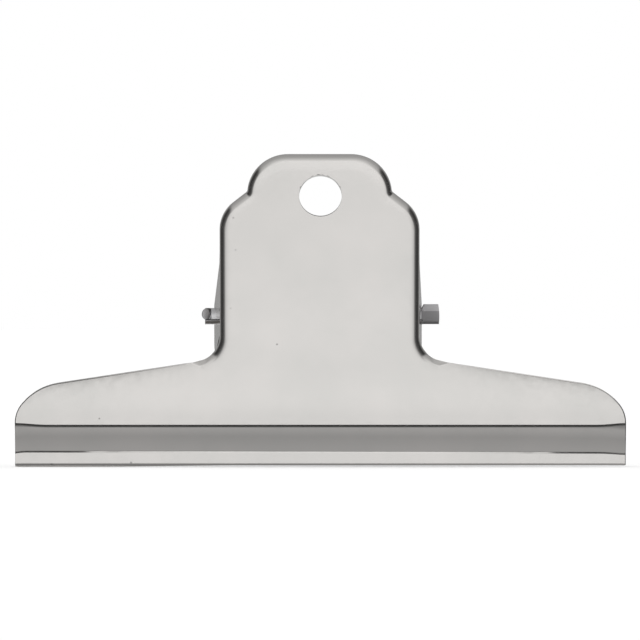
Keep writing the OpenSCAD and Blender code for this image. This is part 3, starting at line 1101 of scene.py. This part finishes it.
# Brightness beside a plate below the dark band's edge, by the angle from straight ahead
BESIDE = ((3, 1), (8, 0.8), (11, 0.62), (22, 0.4), (33, 0.18), (44, 0.11), (64, 0.06), (84, 0.045),
          (104, 0.07), (123, 0.22), (140, 0.32), (155, 0.34), (180, 0.36))
# Elevation of the dark band's upper edge, by the same angle, and half the width of that edge
BAND_EDGE = ((18, -20), (30, -2), (45, 13), (60, 25), (80, 33), (100, 37), (125, 39))
EDGE_SOFTNESS = 5
# Brightness above that edge is the lesser of these two, by elevation and by the same angle
AHEAD = ((0, 1), (10, 0.87), (30, 0.72), (50, 0.56), (70, 0.49), (90, 0.45))
ACROSS = ((10, 1), (26, 0.68), (40, 0.6), (56, 0.52), (77, 0.45), (180, 0.43))
# Strips on the floor before and behind the clip: distance from its middle, brightness at the left
# end and at the right end
STRIP_HALF = 90
STRIP_LIFT = 0.3
STRIP = ((0, 0.13, 0.42), (1.2, 0.15, 0.42), (1.5, 0.44, 0.44), (3, 0.43, 0.43), (6, 0.38, 0.38),
         (8.6, 0.5, 0.5), (9.4, 0.2, 0.2), (10.4, 0.055, 0.055), (17.5, 0.05, 0.05),
         (18.7, 0.6, 0.6), (20, 0.97, 0.97), (26, 0.93, 0.93), (30, 0.98, 0.98), (35, 1, 1),
         (50, 0.97, 0.97), (72, 0.98, 0.98), (90, 0.96, 0.96), (120, 0.94, 0.94), (150, 0.93, 0.93))


def lookup(stops, at):
    """Value between the stops of a table."""
    return float(np.interp(at, [s[0] for s in stops], [s[1] for s in stops]))


def room_level(azimuth, elevation):
    """Brightness that a plate's reflections meet, by the angle from straight ahead of the clip."""
    above = min(lookup(AHEAD, elevation), lookup(ACROSS, azimuth))
    edge = lookup(BAND_EDGE, azimuth)
    share = smooth((elevation - edge + EDGE_SOFTNESS) / (2 * EDGE_SOFTNESS))
    return lookup(BESIDE, azimuth) * (1 - share) + above * share


def make_floor_sector(name, side):
    """Fan on the floor beside the clip, for the reflections in the handle's rim and the ears."""
    rows = []
    for angle in FAN_ANGLES:
        a = math.radians(angle)
        near = SIDE_NEAR / math.sin(a)
        if angle < 90:
            near = min(near, WING_NEAR / (math.cos(a) + WING_SKEW * math.sin(a)))
        far = DOME_RADIUS - 2 * SIDE_NEAR
        radii = [near * (far / near) ** (k / FAN_RINGS) for k in range(FAN_RINGS + 1)]
        rows.append([
            ((side * (APEX_X + r * math.sin(a)), APEX_Y - r * math.cos(a), FLOOR_LIFT),
             room_level(angle, -math.degrees(math.atan2(RIM_HEIGHT, r))))
            for r in radii
        ])
    card(name, rows)


def make_dome():
    """Half sphere that reflections see above the floor: bright ahead, dark low at the sides."""
    rows = []
    for elevation in DOME_ELEVATIONS:
        e = math.radians(elevation)
        across = DOME_RADIUS * math.cos(e)
        height = FLOOR_LIFT + DOME_RADIUS * math.sin(e)
        row = []
        for azimuth in range(-180, 181, DOME_STEP):
            a = math.radians(azimuth)
            spot = (across * math.sin(a), -across * math.cos(a), height)
            row.append((spot, room_level(abs(azimuth), elevation)))
        rows.append(row)
    card("studio_dome", rows)


def make_cards():
    """Reflections: a dome, fans on the floor at the sides and strips before and behind the clip."""
    make_dome()
    for name, side in (("left", -1), ("right", 1)):
        make_floor_sector(name + "_floor_card", side)
    for name, side in (("front", -1), ("rear", 1)):
        card(name + "_strip_card", [
            [((-STRIP_HALF, side * y, STRIP_LIFT), left), ((STRIP_HALF, side * y, STRIP_LIFT), right)]
            for y, left, right in STRIP
        ])


def make_camera():
    data = bpy.data.cameras.new("camera")
    data.sensor_width = SENSOR_WIDTH
    data.lens = SENSOR_WIDTH * CAMERA_DISTANCE / FRAME_WIDTH
    data.clip_end = CLIP_END
    camera = bpy.data.objects.new("camera", data)
    camera.location = (CAMERA_X, -CAMERA_DISTANCE, CAMERA_HEIGHT)
    camera.rotation_euler = (math.pi / 2, 0, 0)
    bpy.context.scene.collection.objects.link(camera)
    bpy.context.scene.camera = camera


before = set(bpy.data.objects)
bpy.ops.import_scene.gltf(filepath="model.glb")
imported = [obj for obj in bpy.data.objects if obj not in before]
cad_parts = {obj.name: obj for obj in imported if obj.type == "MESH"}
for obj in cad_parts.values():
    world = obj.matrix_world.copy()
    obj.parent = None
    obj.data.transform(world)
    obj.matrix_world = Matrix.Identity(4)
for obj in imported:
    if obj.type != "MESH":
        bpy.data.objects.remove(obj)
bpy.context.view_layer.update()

# Each metal has its dark and light colour and its least and most roughness. The pin's squashed end
# gets two darker, rougher and less metallic copies of its plating, which are painted shade: a dark
# one on its flat front and a grey one on its top.
nickel = metal("bright_nickel", (0.675, 0.662, 0.642), (0.715, 0.695, 0.675), (0.09, 0.15),
               pitted=True)
sheared = metal("sheared_edge", (0.42, 0.415, 0.41), (0.55, 0.54, 0.53), (0.25, 0.4))
zinc = metal("pin_plating", (0.66, 0.66, 0.67), (0.75, 0.745, 0.75), (0.24, 0.34), pitted=True)
# The tab's plating is a darker copy of the pin's: painted shade.
bent = metal("tab_painted_shade", (0.4, 0.4, 0.41), (0.48, 0.475, 0.48), (0.28, 0.38))
flat_shade_paint = metal("painted_shade_flat", (0.25, 0.245, 0.25), (0.29, 0.284, 0.29), (0.5, 0.6),
                metallic=SHADE_PAINT_METALLIC)
top_shade_paint = metal("painted_shade_top", (0.43, 0.423, 0.43), (0.49, 0.482, 0.49), (0.45, 0.55),
               metallic=SHADE_PAINT_METALLIC)
steel = metal("spring_steel", (0.36, 0.36, 0.365), (0.5, 0.495, 0.49), (0.18, 0.3))

front = make_plate("front_sheet", FRONT_HALVES, front_lip, FRONT_SPLAYS, True)
rear = make_plate("rear_sheet", REAR_HALVES, rear_lip, REAR_SPLAYS, False)
pin = make_pin()
tab = make_tab()
wire, coil_length = make_spring()

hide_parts("front_plate")
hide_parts("rear_plate")
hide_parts("hinge_pin")
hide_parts("torsion_spring")
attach(front, "front")
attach(pin, "front")
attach(tab, "front")
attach(rear, "rear")
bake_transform(wire)

make_floor()
make_world()
make_cards()
sun("key", KEY_DIRECTION, KEY_STRENGTH)
sun("fill", FILL_DIRECTION, FILL_STRENGTH)
make_camera()
bpy.context.scene.view_settings.view_transform = "Standard"
